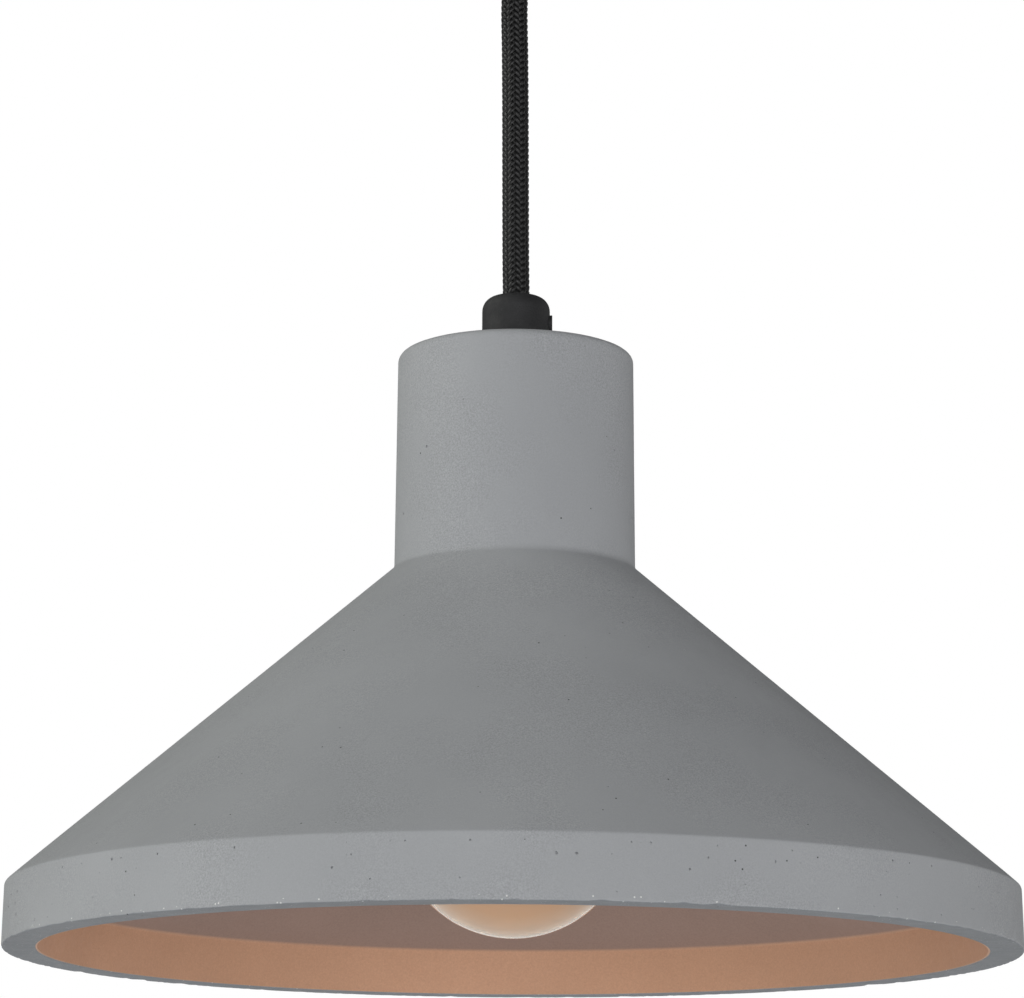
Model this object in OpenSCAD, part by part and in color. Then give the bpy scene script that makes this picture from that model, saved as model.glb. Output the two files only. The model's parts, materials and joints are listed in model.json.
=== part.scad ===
// Pendant ceiling light: a cast cone shade with a tall neck, hung on a braided cord from a
// small round ceiling canopy, with a screw-in bulb in a threaded lampholder.
// The origin is on the ceiling, at the middle of the bracket's two slots, and +Z is up.
// Parts of the lamp are drawn above the shade's rim plane, which lies `drop` below the ceiling.

/* [Hanging] */
// Ceiling to the shade's rim
drop = 305; // [290:1:400]
// Diameter of the braided cord
cord_d = 7; // [6:0.1:7]

/* [Shade] */
// Diameter of the shade over its rim
shade_d = 250; // [240:1:270]
// Height of the upright band around the rim
band_h = 15; // [12:0.5:20]
// Height at which the cone meets the neck
neck_foot_z = 96.4; // [94:0.1:100]
// Diameter of the neck where it leaves the cone
neck_foot_d = 60.6; // [60:0.1:64]
// Diameter of the neck at its top
neck_top_d = 59.8; // [59:0.1:62]
// Height of the whole shade
shade_h = 152; // [151:0.5:153]
// Thickness of the rim's flat underside
rim_wall = 8.3; // [7:0.1:10]
// Thickness of the colour coat inside the shade
lining_t = 0.4; // [0.3:0.1:0.6]

/* [Cord grips] */
// Diameter of a cord grip
grip_d = 17.3; // [16:0.1:18]
// Height of a cord grip
grip_h = 15.5; // [15:0.1:16]

/* [Bulb] */
// Diameter of the bulb's globe
bulb_d = 59.6; // [55:0.1:60]
// Height of the globe's middle above the rim plane
globe_z = 34; // [33:0.5:36]
// Radius of the bulb's glass neck
bulb_neck_r = 14; // [13.5:0.1:15]

/* [Canopy] */
// Diameter of the ceiling canopy
canopy_d = 100; // [99:1:110]
// Height of the ceiling canopy
canopy_h = 30; // [29:1:32]
// Distance between the two ceiling screws
slot_spacing = 60; // [56:1:62]

/* [Hidden] */
$fn = 64;
// Room left between parts that move past each other
gap = 0.3;
cord_r = cord_d / 2;
// The M10 threaded tubes that join a cord grip to what it holds
nipple_r = 5;
nipple_bore_r = 4.1;
// The shade's inside, read from the rim up: a nearly upright band, a cone, then the neck's bore
rim_r = shade_d / 2;
band_top_r = rim_r - 0.3;
inner_rim_r = rim_r - rim_wall;
inner_band_z = 12.1;
inner_band_r = inner_rim_r - 1.3;
cone_slope = (neck_foot_z - band_h) / (band_top_r - neck_foot_d / 2);
neck_bore_r = 22.4;
inner_foot_z = inner_band_z + (inner_band_r - neck_bore_r) * cone_slope;
neck_ceiling_z = shade_h - 9;
// Corner radii of the inside, at the band and at the foot of the neck
inner_band_corner = 1.2;
inner_foot_corner = 2;
// Canopy: thin spun steel, with its floor at the bottom
sheet_t = 1.2;
canopy_r = canopy_d / 2;
canopy_floor_z = -canopy_h + sheet_t;
side_screw_z = -9;
// The main cord's ends: the swing centre sits just inside the canopy grip's mouth
grip_mouth_z = -canopy_h - grip_h;
swing_z = grip_mouth_z + 2.5;
grip_top_z = -drop + shade_h + grip_h;
// Edison thread, right-handed, seven turns to 25.4 mm
thread_pitch = 3.629;
thread_mid_r = 12.65;
thread_depth = 0.475;
// Heights in the lampholder and bulb, above the rim plane
tip_z = globe_z + 76;
insert_z = 112;
// Bulb glass
globe_r = bulb_d / 2;
glass_t = 1;
shoulder_z = globe_z + 46;

// Route of the hanging cord, from the lamp's grip up to the swing centre
cord_route = [
    [0, 0, -139.7], [0, 0, -136], [-0.15, 0, -126], [-0.25, 0, -113], [-0.35, 0.1, -99],
    [-0.45, 0.2, -85], [-0.6, 0.2, -72], [-0.8, 0.1, -58.5], [-0.1, 0, -49], [0, 0, -44.8]
];
// Routes of the insulated cores, from the cord's stripped end to the terminals
supply_live_route = [
    [-1.6, 0, -20], [-1.6, 0, -18.4], [-1.8, 0.8, -15], [-2.5, 3, -12.8], [-3.9, 6.8, -12.2],
    [-5.2, 10.4, -14.6], [-5.9, 12.8, -19], [-6, 14.8, -21.4], [-6, 18, -21.6]
];
lamp_live_route = [
    [1.6, 0, 129], [1.6, 0, 127.8], [1.9, 0, 126], [2.8, 0, 124.3], [4.6, 0, 123], [6.6, 0, 122.6],
    [8.4, 0, 122.6]
];

// ---------- Outline and sweep helpers ----------

function unit(v) = v / norm(v);
function xy(p) = [p.x, p.y];

// Points of an arc that rounds the corner q, between its neighbours p and s, to radius r
function corner_arc(p, q, s, r, n) =
    r <= 0 ? [q] :
    let (u = unit(p - q), v = unit(s - q), half = acos(u * v) / 2,
         centre = q + unit(u + v) * r / sin(half),
         start = q + u * r / tan(half) - centre,
         end = q + v * r / tan(half) - centre,
         first = atan2(start.y, start.x),
         turn = (atan2(end.y, end.x) - first + 900) % 360 - 180)
    [for (i = [0:n]) centre + r * [cos(first + turn * i / n), sin(first + turn * i / n)]];

// Closed outline through corners given as [x, y, corner radius]
function outline(corners, n = 5) =
    let (m = len(corners)) [
        for (i = [0:m - 1])
            each corner_arc(xy(corners[(i + m - 1) % m]), xy(corners[i]),
                            xy(corners[(i + 1) % m]), corners[i].z, n)
    ];

// Points of an arc about a centre
function arc(centre, r, from, to, n = 12) =
    [for (i = [0:n]) let (a = from + (to - from) * i / n) centre + r * [cos(a), sin(a)]];

module turned(corners, n = 5) rotate_extrude($fn = 96) polygon(outline(corners, n));

module ring(r_out, r_in, z0, z1) {
    translate([0, 0, z0]) difference() {
        cylinder(r = r_out, h = z1 - z0);
        translate([0, 0, -1]) cylinder(r = r_in, h = z1 - z0 + 2);
    }
}

module lamp_frame() translate([0, 0, -drop]) children();

function tangent(path, i) = unit(path[min(i + 1, len(path) - 1)] - path[max(i - 1, 0)]);

// Side vectors of a tube's rings, each turned from the last as little as the bend allows
function ring_axes(path, i = 0, side = [1, 0, 0]) =
    i >= len(path) ? [] :
    let (t = tangent(path, i), s = unit(side - t * (side * t)))
    concat([[s, cross(t, s)]], ring_axes(path, i + 1, s));

module tube(path, r, sides = 8) {
    rings = len(path);
    axes = ring_axes(path);
    points = [
        for (i = [0:rings - 1], k = [0:sides - 1]) let (a = 360 * k / sides)
            path[i] + r * (cos(a) * axes[i][0] + sin(a) * axes[i][1])
    ];
    polyhedron(points, stack_faces(rings, sides), convexity = 4);
}

// Faces of a closed stack of rings, each with the same number of points
function stack_faces(rings, sides) = concat(
    [[for (k = [0:sides - 1]) k]],
    [[for (k = [sides - 1:-1:0]) (rings - 1) * sides + k]],
    [for (i = [0:rings - 2], k = [0:sides - 1])
        let (a = i * sides + k, b = i * sides + (k + 1) % sides) each
            [[a, a + sides, b + sides], [a, b + sides, b]]]
);

// Solid round bar with a rolled Edison thread on its outside
module thread_bar(mid_r, z0, z1, sides = 24, rows_per_turn = 12) {
    rows = ceil((z1 - z0) / thread_pitch * rows_per_turn);
    points = [
        for (i = [0:rows], k = [0:sides - 1])
            let (z = z0 + (z1 - z0) * i / rows, a = 360 * k / sides,
                 r = mid_r + thread_depth * cos(a - 360 * z / thread_pitch))
            [r * cos(a), r * sin(a), z]
    ];
    polyhedron(points, stack_faces(rows + 1, sides), convexity = 6);
}

// Screw standing along +Z with its tip at z = 0 and a slotted round head
module slotted_screw(shank_r, shank_l, head_r, head_h) {
    slot_w = head_r * 0.3;
    cylinder(r = shank_r, h = shank_l);
    difference() {
        translate([0, 0, shank_l]) cylinder(r = head_r, h = head_h);
        translate([-head_r - 1, -slot_w / 2, shank_l + head_h * 0.5])
            cube([2 * head_r + 2, slot_w, head_h]);
    }
}

// ---------- Bracket on the ceiling ----------

bracket_t = 2;
bracket_w = 12;
lug_x = canopy_r - sheet_t - 1;
slot_r = 2.25;
slot_l = 14;
cable_hole_r = 7;
side_screw_r = 2;

module slotted_hole(r, length, depth) {
    straight = length / 2 - r;
    for (x = [-straight, straight]) translate([x, 0, 0]) cylinder(r = r, h = depth);
    translate([-straight, -r, 0]) cube([2 * straight, 2 * r, depth]);
}

module ceiling_bracket() color("silver") {
    earth_x = -17;
    difference() {
        union() {
            translate([-lug_x, -bracket_w / 2, -bracket_t])
                cube([2 * lug_x, bracket_w, bracket_t]);
            translate([0, 0, -bracket_t]) cylinder(r = 13, h = bracket_t);
            for (side = [0, 180]) rotate([0, 0, side]) bracket_lug();
        }
        translate([0, 0, -bracket_t - 1]) cylinder(r = cable_hole_r, h = bracket_t + 2);
        for (x = [-slot_spacing / 2, slot_spacing / 2])
            translate([x, 0, -bracket_t - 1]) slotted_hole(slot_r, slot_l, bracket_t + 2);
        translate([earth_x, 0, -bracket_t - 1]) cylinder(r = 1.75, h = bracket_t + 2);
        translate([-lug_x - 1, 0, side_screw_z]) rotate([0, 90, 0])
            cylinder(r = side_screw_r, h = 2 * lug_x + 2);
    }
}

// Ear bent down from the bracket's end, with a collar for the side screw's thread
module bracket_lug() {
    translate([lug_x - bracket_t, -bracket_w / 2, side_screw_z])
        cube([bracket_t, bracket_w, -side_screw_z]);
    translate([lug_x - bracket_t, 0, side_screw_z]) rotate([0, 90, 0])
        cylinder(r = bracket_w / 2, h = bracket_t);
    translate([lug_x - bracket_t - 2, 0, side_screw_z]) rotate([0, 90, 0])
        cylinder(r = 3.4, h = 2.1);
}

// Knurled thumb screws that hold the canopy by its open slots
module canopy_screws() color("dimgray") {
    knurls = 20;
    head_r = 4.2;
    head_l = 4.5;
    head_x = canopy_r + gap;
    for (side = [0, 180]) rotate([0, 0, side]) translate([0, 0, side_screw_z]) rotate([0, 90, 0]) {
        translate([0, 0, lug_x - 6]) cylinder(r = side_screw_r, h = head_x - lug_x + 6.1);
        translate([0, 0, head_x]) linear_extrude(head_l)
            polygon([for (i = [0:2 * knurls - 1])
                (head_r - 0.35 * (i % 2)) * [cos(180 * i / knurls), sin(180 * i / knurls)]]);
        translate([0, 0, head_x + head_l - 0.1]) cylinder(r = head_r - 1, h = 0.5);
    }
}

module earth_screw() color("gold")
    translate([-17, 0, 0]) mirror([0, 0, 1]) slotted_screw(1.75, 2.8, 3.4, 2.2);

module earth_washer() color("silver")
    translate([-17, 0, 0]) ring(4.4, 1.75, -2.8, -2);

// ---------- Canopy and what is fixed to it ----------

module canopy_cup() color("#1b1b1c") {
    slot_half_w = side_screw_r + gap;
    difference() {
        turned([
            [nipple_r + 0.2, -canopy_h, 0], [canopy_r, -canopy_h, 5], [canopy_r, 0, 0.4],
            [canopy_r - sheet_t, 0, 0.4], [canopy_r - sheet_t, canopy_floor_z, 3.8],
            [nipple_r + 0.2, canopy_floor_z, 0]
        ]);
        for (side = [0, 180]) rotate([0, 0, side]) translate([canopy_r - 6, 0, side_screw_z]) {
            rotate([0, 90, 0]) cylinder(r = slot_half_w, h = 8);
            translate([0, -slot_half_w, 0]) cube([8, 2 * slot_half_w, 20]);
        }
        // Hole for the terminal block's screw
        translate([0, block_y, -canopy_h - 1]) cylinder(r = 1.6, h = sheet_t + 2);
    }
}

// Cord grip: base at z = 0, cord mouth at the top, set screw hole on the +X side
set_screw_z = 8.5;
set_screw_r = 2.5;
module cord_grip_body() {
    thread_h = 5.6;
    channel_r = cord_r + 0.4;
    mouth_r = 9.15;
    mouth_depth = 3.2;
    difference() {
        turned([[0, 0, 0], [grip_d / 2, 0, 0.5], [grip_d / 2, grip_h, 3], [0, grip_h, 0]]);
        translate([0, 0, -1]) cylinder(r = nipple_r, h = thread_h + 1);
        cylinder(r = channel_r, h = grip_h + 1);
        // Bell mouth that keeps a swinging cord off a hard edge
        translate([0, 0, grip_h - mouth_depth]) rotate_extrude($fn = 96) difference() {
            square([mouth_r, mouth_depth + 0.01]);
            translate([mouth_r, 0]) circle(r = 5);
        }
        translate([0, 0, set_screw_z]) rotate([0, 90, 0]) cylinder(r = set_screw_r, h = grip_d);
    }
}

// Set screw that clamps the cord, with a slot across its outer end
module grip_set_screw() {
    proud = 0.6;
    inner_x = cord_r + 0.1;
    difference() {
        translate([inner_x, 0, set_screw_z]) rotate([0, 90, 0])
            cylinder(r = set_screw_r, h = grip_d / 2 + proud - inner_x);
        translate([grip_d / 2 - 0.7, -0.45, set_screw_z - set_screw_r - 1])
            cube([4, 0.9, 2 * set_screw_r + 2]);
    }
}

module canopy_grip() color("#161617")
    translate([0, 0, -canopy_h]) mirror([0, 0, 1]) cord_grip_body();

module canopy_grip_screw() color("#161617")
    translate([0, 0, -canopy_h]) mirror([0, 0, 1]) grip_set_screw();

washer_top_z = canopy_floor_z + 1;
nut_h = 3;
module canopy_nipple() color("silver")
    ring(nipple_r, nipple_bore_r, -canopy_h - 5.5, washer_top_z + nut_h + 2.8);

module canopy_washer() color("silver") ring(9, nipple_r, canopy_floor_z, washer_top_z);

module canopy_nut() color("silver") {
    across_corners = 16.2;
    translate([0, 0, washer_top_z]) difference() {
        cylinder(d = across_corners, h = nut_h, $fn = 6);
        translate([0, 0, -1]) cylinder(r = nipple_r, h = nut_h + 2);
    }
}

// Two-pole terminal block on the canopy's floor
block_y = 24;
block_h = 14;
pole_x = 6;
pole_z = -21.6;
sleeve_r = 2.6;
block_screw_r = 1.5;
module terminal_block() color("ivory") {
    width = 24;
    depth = 18;
    difference() {
        translate([-width / 2, block_y - depth / 2, canopy_floor_z]) cube([width, depth, block_h]);
        for (x = [-pole_x, pole_x]) {
            translate([x, block_y - depth, pole_z]) rotate([-90, 0, 0])
                cylinder(r = sleeve_r, h = 2 * depth);
            for (y = [-4, 4]) translate([x, block_y + y, pole_z])
                cylinder(r = 2, h = block_h);
        }
        translate([0, block_y, canopy_floor_z - 1]) cylinder(r = block_screw_r, h = block_h + 2);
        translate([0, block_y, canopy_floor_z + block_h - 5]) cylinder(r = 2.8, h = 6);
        // Dividing grooves between the poles
        for (y = [-depth / 2 - 0.1, depth / 2 - 1.9]) translate([-1, block_y + y, canopy_floor_z - 1])
            cube([2, 2, block_h + 2]);
    }
}

// Brass tubes that the wires go into
module terminal_sleeves() color("goldenrod") {
    length = 16;
    for (x = [-pole_x, pole_x]) difference() {
        translate([x, block_y - length / 2, pole_z]) rotate([-90, 0, 0])
            cylinder(r = sleeve_r, h = length);
        translate([x, block_y - length, pole_z]) rotate([-90, 0, 0])
            cylinder(r = 1.5, h = 2 * length);
        for (y = [-4, 4]) translate([x, block_y + y, pole_z]) cylinder(r = 1.25, h = 5);
    }
}

module terminal_screws() color("silver")
    for (x = [-pole_x, pole_x], y = [-4, 4])
        translate([x, block_y + y, pole_z + 1.4]) slotted_screw(1.25, 2.2, 1.8, 1.8);

module block_screw() color("silver")
    translate([0, block_y, canopy_floor_z - 3]) slotted_screw(block_screw_r, 12.1, 2.7, 2);

// Upper end of the cord, through the grip and into the canopy, with a seat for the bend below it
seat_offset = 0.5 * cord_r;
bend_r = 0.96 * cord_r;
module cord_upper() color("#202021") difference() {
    translate([0, 0, swing_z + seat_offset]) cylinder(r = cord_r, h = -20 - swing_z - seat_offset);
    translate([0, 0, swing_z]) sphere(r = bend_r + gap);
}

module core(route, side) mirror([side, 0, 0]) tube(route, 1.1, 8);

module supply_core_live() color("saddlebrown") core(supply_live_route, 0);

module supply_core_neutral() color("steelblue") core(supply_live_route, 1);

// ---------- Hanging cord ----------

// The short stretch that flexes where the cord leaves the canopy's grip
module cord_bend() color("#202021") translate([0, 0, swing_z]) sphere(r = bend_r);

module cord() color("#202021") difference() {
    tube(cord_route, cord_r, 12);
    translate([0, 0, swing_z]) sphere(r = bend_r + gap);
}

// ---------- Lamp: grip, shade and fixings ----------

module lamp_grip() color("#161617") lamp_frame() translate([0, 0, shade_h]) cord_grip_body();

module lamp_grip_screw() color("#161617") lamp_frame() translate([0, 0, shade_h]) grip_set_screw();

module lamp_nipple() color("silver")
    lamp_frame() ring(nipple_r, nipple_bore_r, neck_ceiling_z - 11, shade_h + 5.5);

// The cord's lower end, clamped in the grip and stripped inside the lampholder's cap
cord_end_z = 129;
module cord_lower() color("#202021") lamp_frame()
    translate([0, 0, cord_end_z])
        cylinder(r = cord_r, h = cord_route[0].z - gap + drop - cord_end_z);

module lamp_core_live() color("saddlebrown") lamp_frame() core(lamp_live_route, 0);

module lamp_core_neutral() color("steelblue") lamp_frame() core(lamp_live_route, 1);

// Cast shade: band, cone and neck in one wall, open below, with the cord's hole in its top
module shade() color("#8c8e91") lamp_frame() turned([
    [rim_r, 0, 1], [band_top_r, band_h, 1.2], [neck_foot_d / 2, neck_foot_z, 2.5],
    [neck_top_d / 2, shade_h, 2], [nipple_r + 0.25, shade_h, 0],
    [nipple_r + 0.25, neck_ceiling_z, 0], [neck_bore_r, neck_ceiling_z, 3],
    [neck_bore_r, inner_foot_z, inner_foot_corner],
    [inner_band_r, inner_band_z, inner_band_corner], [inner_rim_r, 0, 0.2]
]);

// Metallic coat on the inside of the band, the cone and the foot of the neck
module shade_lining() color("#a87d63") lamp_frame() {
    // The coat starts just above the rim's inner edge, clear of its small rounding
    foot_z = inner_band_z / 50;
    foot_r = inner_rim_r - (inner_rim_r - inner_band_r) / 50;
    top_z = 104;
    cone_shift = lining_t * sqrt(1 + cone_slope * cone_slope);
    // Height at which the coat's own band line and cone line cross
    coat_band_z = inner_band_z - cone_shift + lining_t * cone_slope;
    coat_foot_z = inner_foot_z - cone_shift + lining_t * cone_slope;
    turned([
        [foot_r, foot_z, 0], [inner_band_r, inner_band_z, inner_band_corner],
        [neck_bore_r, inner_foot_z, inner_foot_corner], [neck_bore_r, top_z, 0],
        [neck_bore_r - lining_t, top_z, 0],
        [neck_bore_r - lining_t, coat_foot_z, inner_foot_corner + lining_t],
        [inner_band_r - lining_t, coat_band_z, inner_band_corner - lining_t],
        [foot_r - lining_t, foot_z, 0]
    ]);
}

module rubber_washer() color("#222222")
    lamp_frame() ring(13, nipple_r, neck_ceiling_z - 2, neck_ceiling_z);

module steel_washer() color("silver")
    lamp_frame() ring(11, nipple_r, neck_ceiling_z - 3.2, neck_ceiling_z - 2);

// ---------- Lampholder ----------

holder_top_z = neck_ceiling_z - 3.2;
holder_r = 19.5;
holder_split_z = 117.5;
module holder_cap() color("#1a1a1a") lamp_frame() {
    wall = 1.9;
    turned([
        [nipple_r, holder_top_z, 0], [8.2, holder_top_z, 1], [8.2, holder_top_z - 5, 2],
        [holder_r, holder_top_z - 8.3, 5], [holder_r, holder_split_z, 0.3],
        [holder_r - wall, holder_split_z, 0], [holder_r - wall, holder_top_z - 10, 3.5],
        [nipple_r + 2, holder_top_z - 7, 1], [nipple_r, holder_top_z - 7, 0]
    ]);
}

// Skirt that screws into the cap, with a ledge for the insert and a lip below the screw shell
shell_r = 14.3;
skirt_foot_z = 84;
lip_top_z = 86.5;
module holder_skirt() color("#1a1a1a") lamp_frame() difference() {
    turned([
        [17.5, insert_z + 10, 0.5], [17.5, holder_split_z - gap, 0],
        [holder_r, holder_split_z - gap, 0.3], [holder_r, 106, 2], [18.2, 101, 2],
        [18.2, skirt_foot_z, 1.2], [13.6, skirt_foot_z, 0.8], [13.6, lip_top_z, 0],
        [shell_r, lip_top_z, 0], [shell_r, insert_z, 0], [16.9, insert_z, 0],
        [16.9, insert_z + 10, 0]
    ]);
    // Grip flutes around the outside
    flutes = 24;
    for (i = [0:flutes - 1]) rotate([0, 0, 360 * i / flutes]) translate([holder_r + 0.5, 0, 107.5])
        cylinder(r = 0.9, h = 8.4, $fn = 24);
}

// Heat-proof disc that carries the contacts
post_x = 8.4;
post_r = 2.4;
module holder_insert() color("white") lamp_frame() difference() {
    union() {
        translate([0, 0, insert_z]) cylinder(r = 16.8, h = 6);
        translate([-1, -14, insert_z + 5]) cube([2, 28, 5]);
    }
    for (x = [-post_x, post_x]) translate([x, 0, insert_z - 1]) cylinder(r = post_r, h = 8);
}

// Terminal post with a cross hole for a core and a threaded hole for its screw
module contact_post(x) difference() {
    translate([x, 0, insert_z]) cylinder(r = post_r, h = 13.5);
    translate([x - 4, 0, 122.6]) rotate([0, 90, 0]) cylinder(r = 1.2, h = 8);
    translate([x, 0, 123]) cylinder(r = 1, h = 4);
}

module centre_contact() color("goldenrod") lamp_frame() {
    width = 6;
    contact_post(-post_x);
    translate([0, width / 2, 0]) rotate([90, 0, 0]) linear_extrude(width) polygon([
        [-11, insert_z], [-11, insert_z - 0.5], [-5, insert_z - 0.5], [-1.6, tip_z + gap],
        [3.2, tip_z + gap], [3.2, tip_z + gap + 0.5], [-1.3, tip_z + gap + 0.5], [-4.6, insert_z]
    ]);
}

module side_contact() color("goldenrod") lamp_frame() {
    width = 5;
    contact_post(post_x);
    translate([post_x - 2.4, -width / 2, insert_z - 0.5]) cube([7.8, width, 0.5]);
}

module contact_screws() color("silver") lamp_frame()
    for (x = [-post_x, post_x]) translate([x, 0, 123.9]) slotted_screw(1, 1.7, 1.9, 1.5);

// Brass shell with the female Edison thread
module screw_shell() color("goldenrod") lamp_frame() {
    foot_z = lip_top_z;
    top_z = insert_z - 0.5;
    thread_top_z = 106;
    difference() {
        translate([0, 0, foot_z]) cylinder(r = shell_r, h = top_z - foot_z);
        thread_bar(thread_mid_r + gap, foot_z - 1, thread_top_z);
        translate([0, 0, thread_top_z - 0.01]) cylinder(r = 13, h = top_z - thread_top_z + 1);
    }
}

// ---------- Bulb ----------

// Centre contact: a round solder tip, the same at every turn of the bulb
module bulb_tip() color("silver") lamp_frame()
    turned([[0, tip_z - 0.7, 0], [4.7, tip_z - 0.7, 0], [4.7, tip_z, 0.4], [0, tip_z, 0]]);

cap_foot_z = 84.6;
cap_bore_r = 11.7;
cap_thread_top_z = 103;
insulator_seat_z = 105.4;
module bulb_cap() color("#c9b98d") lamp_frame() difference() {
    union() {
        thread_bar(thread_mid_r, cap_foot_z + 1.2, cap_thread_top_z);
        translate([0, 0, cap_foot_z]) cylinder(r = thread_mid_r + 0.35, h = 1.4);
        translate([0, 0, cap_thread_top_z - 0.1]) rotate_extrude()
            polygon([[0, 0], [12.3, 0], [11.6, 1.2], [8, 3.2], [0, 3.2]]);
    }
    translate([0, 0, cap_foot_z - 1]) cylinder(r = cap_bore_r, h = cap_thread_top_z - cap_foot_z);
    translate([0, 0, cap_thread_top_z - 2]) rotate_extrude()
        polygon([[0, 0], [cap_bore_r, 0], [10.8, 2.8], [7.4, 4.4], [0, 4.4]]);
    translate([0, 0, cap_thread_top_z]) cylinder(r = 7, h = 6);
}

// Glass insulator between the cap's shell and its tip
module bulb_insulator() color("#241a26") lamp_frame() turned([
    [0, insulator_seat_z - 1, 0], [7, insulator_seat_z - 1, 0], [7, insulator_seat_z + 1.2, 0.6],
    [5.2, tip_z - 1, 0.4], [0, tip_z - 1, 0]
]);

// Outline of the bulb's glass: globe, then a hollow curve tangent to it that rises to the neck.
// inset moves the whole outline inwards.
function bulb_side(inset) =
    let (rise = shoulder_z - globe_z, step = globe_r - bulb_neck_r,
         flare_r = (rise * rise / step - globe_r - bulb_neck_r) / 2,
         flare_centre = [bulb_neck_r + flare_r, shoulder_z],
         meet = atan2(rise, flare_centre.x))
    concat(arc([0, globe_z], globe_r - inset, -90, meet, 24),
           arc(flare_centre, flare_r + inset, 180 + meet, 180, 12));

module bulb_glass() color("#e8d9c0", 0.4) lamp_frame() rotate_extrude($fn = 96) {
    sleeve_r = 11.6;
    sleeve_top_z = 90;
    difference() {
        union() {
            polygon(concat(bulb_side(0), [
                [bulb_neck_r, shoulder_z + 2.4], [sleeve_r, shoulder_z + 4.4],
                [sleeve_r, sleeve_top_z], [0, sleeve_top_z]
            ]));
        }
        polygon(concat(bulb_side(glass_t), [
            [bulb_neck_r - glass_t, shoulder_z + 2], [sleeve_r - glass_t, shoulder_z + 4],
            [sleeve_r - glass_t, sleeve_top_z + 1], [0, sleeve_top_z + 1]
        ]));
    }
}

// Glass stem that closes the neck and carries the filaments
stem_end_z = 50;
module bulb_stem() color("#dfe6e6", 0.5) lamp_frame() turned([
    [0, 89, 0], [10.6, 89, 0], [10.6, 87.6, 0], [4.4, 84, 3], [3.6, 64, 2], [1.6, 60, 1],
    [1.6, stem_end_z, 1.4], [0, stem_end_z, 0]
]);

// Four straight light sticks that lean outwards towards the bottom
stick_top = [4.6, 0, 62];
stick_foot = [11, 0, 26];
stick_r = 0.9;
sticks = 4;
module rod(from, to, r) {
    run = to - from;
    length = norm(run);
    translate(from) rotate([0, acos(run.z / length), atan2(run.y, run.x)])
        cylinder(r = r, h = length, $fn = 24);
}

module bulb_filaments() color("#d98c2b") lamp_frame()
    for (i = [0:sticks - 1]) rotate([0, 0, 45 + 360 * i / sticks]) rod(stick_top, stick_foot, stick_r);

// Wires from the stem to the sticks: four arms at the top, a post and four arms below
module filament_wires() color("silver") lamp_frame() {
    wire_r = 0.35;
    hub_z = 23;
    difference() {
        union() {
            for (i = [0:sticks - 1]) rotate([0, 0, 45 + 360 * i / sticks]) {
                rod([4.1, 0, 65.4], [stick_top.x, 0, stick_top.z + 0.4], wire_r);
                rod([0, 0, hub_z], [stick_foot.x, 0, stick_foot.z - 0.2], wire_r);
            }
            rod([0, 0, hub_z - 0.4], [0, 0, stem_end_z], wire_r);
        }
        for (i = [0:sticks - 1]) rotate([0, 0, 45 + 360 * i / sticks])
            rod(stick_top, stick_foot, stick_r);
    }
}

// Small round driver board with two components, inside the cap
module bulb_driver() color("seagreen") lamp_frame() {
    translate([0, 0, 92]) cylinder(r = 8.5, h = 1.6);
    translate([-3.5, 0, 93.5]) cylinder(r = 3, h = 6);
    translate([1.5, -3, 93.5]) cube([4, 6, 3.5]);
}

ceiling_bracket();
canopy_screws();
earth_screw();
earth_washer();
canopy_cup();
canopy_grip();
canopy_grip_screw();
canopy_nipple();
canopy_washer();
canopy_nut();
terminal_block();
terminal_sleeves();
terminal_screws();
block_screw();
cord_upper();
supply_core_live();
supply_core_neutral();
cord_bend();
cord();
lamp_grip();
lamp_grip_screw();
lamp_nipple();
cord_lower();
lamp_core_live();
lamp_core_neutral();
shade();
shade_lining();
rubber_washer();
steel_washer();
holder_cap();
holder_skirt();
holder_insert();
centre_contact();
side_contact();
contact_screws();
screw_shell();
bulb_tip();
bulb_cap();
bulb_insulator();
bulb_glass();
bulb_stem();
bulb_filaments();
filament_wires();
bulb_driver();
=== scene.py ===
"""Looks of the pendant ceiling light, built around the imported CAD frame."""

import math
import random

import bmesh
import bpy
from mathutils import Matrix, Vector, noise
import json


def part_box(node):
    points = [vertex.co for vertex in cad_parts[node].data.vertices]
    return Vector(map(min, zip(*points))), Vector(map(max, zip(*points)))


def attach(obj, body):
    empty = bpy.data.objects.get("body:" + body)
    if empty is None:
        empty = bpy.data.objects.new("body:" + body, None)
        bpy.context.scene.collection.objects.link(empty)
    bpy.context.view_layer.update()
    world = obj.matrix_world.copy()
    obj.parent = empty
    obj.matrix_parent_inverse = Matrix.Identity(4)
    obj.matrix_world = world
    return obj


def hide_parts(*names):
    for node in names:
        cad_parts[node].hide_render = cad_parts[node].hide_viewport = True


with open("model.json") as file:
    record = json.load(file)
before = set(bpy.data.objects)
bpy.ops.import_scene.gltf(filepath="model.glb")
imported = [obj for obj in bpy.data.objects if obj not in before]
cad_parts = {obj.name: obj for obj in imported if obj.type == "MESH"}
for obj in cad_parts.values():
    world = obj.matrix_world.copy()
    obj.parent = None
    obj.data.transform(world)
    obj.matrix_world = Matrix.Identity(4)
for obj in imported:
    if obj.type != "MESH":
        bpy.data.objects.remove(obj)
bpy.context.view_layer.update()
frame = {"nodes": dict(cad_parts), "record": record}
MM = 0.001
SEED = 20

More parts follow.
